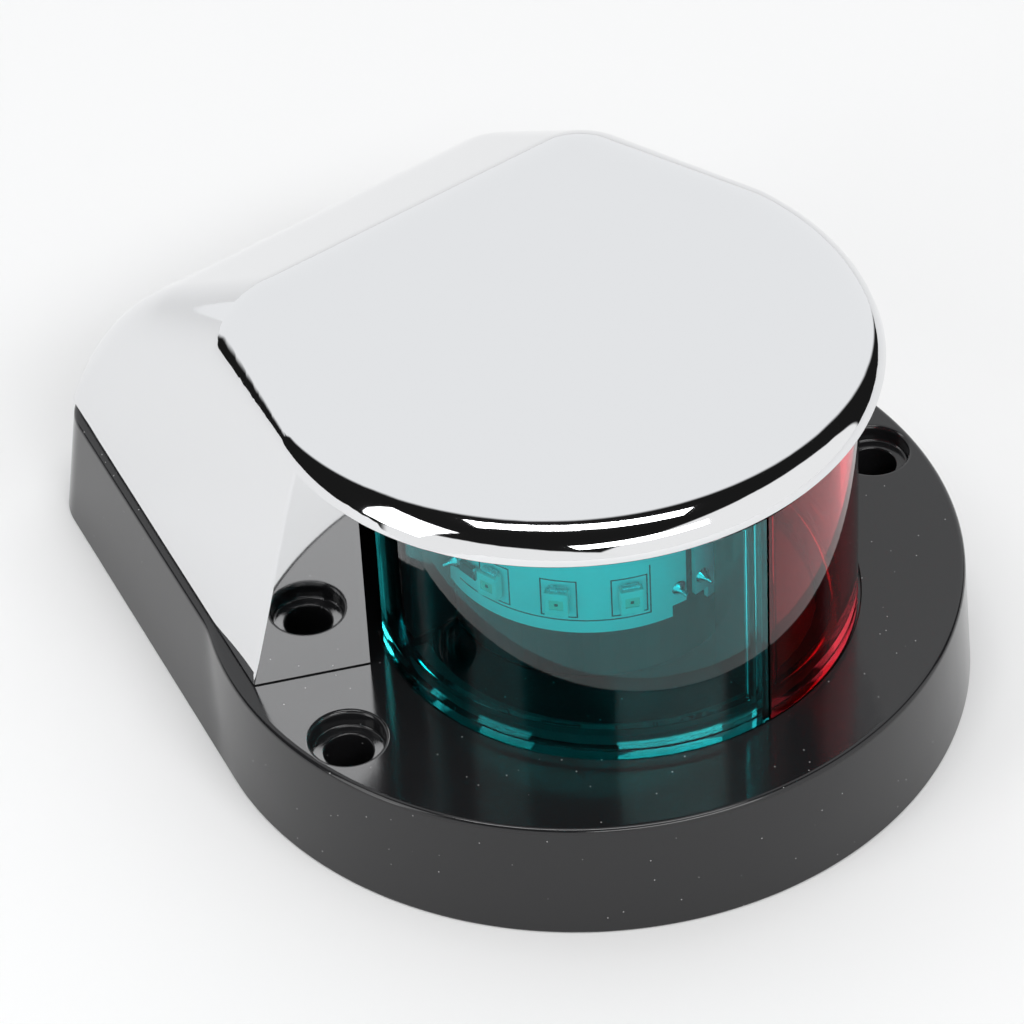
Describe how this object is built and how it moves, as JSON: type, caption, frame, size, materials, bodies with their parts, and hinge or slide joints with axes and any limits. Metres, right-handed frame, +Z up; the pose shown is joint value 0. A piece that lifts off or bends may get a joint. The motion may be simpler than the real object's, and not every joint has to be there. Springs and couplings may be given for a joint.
{
  "type": "navigation light",
  "caption": "Two-colour bow navigation light: rounded black base, chrome hood with a round brim, and a red and a green curved lens over curved LED strips.",
  "frame": {"origin": "on the mounting surface, under the middle of the light's bounding box", "axes": "+Z up from the mounting surface; +Y towards the stern, so the lenses face -Y; green (starboard) lens at -X, red (port) lens at +X"},
  "size_m": [0.095, 0.117, 0.053],
  "materials": {
    "base_plastic": "glossy moulded black",
    "divider_plastic": "glossy black",
    "carrier_plastic": "satin moulded black",
    "hood_chrome": "mirror-polished plating",
    "lens_green": "clear tinted, polished",
    "lens_red": "clear tinted, polished",
    "seal_rubber": "soft matte",
    "board_white": "white solder mask",
    "led_body": "white moulded package, clear window",
    "resistor_ceramic": "glazed chip",
    "solder": "bright solder",
    "wire_red": "smooth insulation",
    "wire_black": "smooth insulation",
    "cap_nylon": "translucent nylon",
    "screw_steel": "plain stainless"
  },
  "bodies": {
    "root": {"base_housing": "base_plastic", "chrome_hood": "hood_chrome", "hood_seal": "seal_rubber", "lens_divider": "divider_plastic", "lens_seal_lower": "seal_rubber", "lens_seal_upper": "seal_rubber", "led_carrier": "carrier_plastic", "cable_grommet": "seal_rubber", "lens_green": "lens_green", "lens_red": "lens_red", "led_board_green": "board_white", "led_board_red": "board_white", "led_green_1": "led_body", "led_green_2": "led_body", "led_green_3": "led_body", "resistor_green": "resistor_ceramic", "solder_green_positive": "solder", "lead_green_positive": "wire_red", "solder_green_negative": "solder", "lead_green_negative": "wire_black", "led_red_1": "led_body", "led_red_2": "led_body", "led_red_3": "led_body", "resistor_red": "resistor_ceramic", "solder_red_positive": "solder", "lead_red_positive": "wire_red", "solder_red_negative": "solder", "lead_red_negative": "wire_black", "supply_core_positive": "wire_red", "crimp_cap_positive": "cap_nylon", "supply_core_negative": "wire_black", "crimp_cap_negative": "cap_nylon", "hood_screw_1": "screw_steel", "hood_screw_2": "screw_steel", "hood_screw_3": "screw_steel", "hood_screw_4": "screw_steel", "carrier_screw_1": "screw_steel", "carrier_screw_2": "screw_steel"}
  },
  "joints": []
}
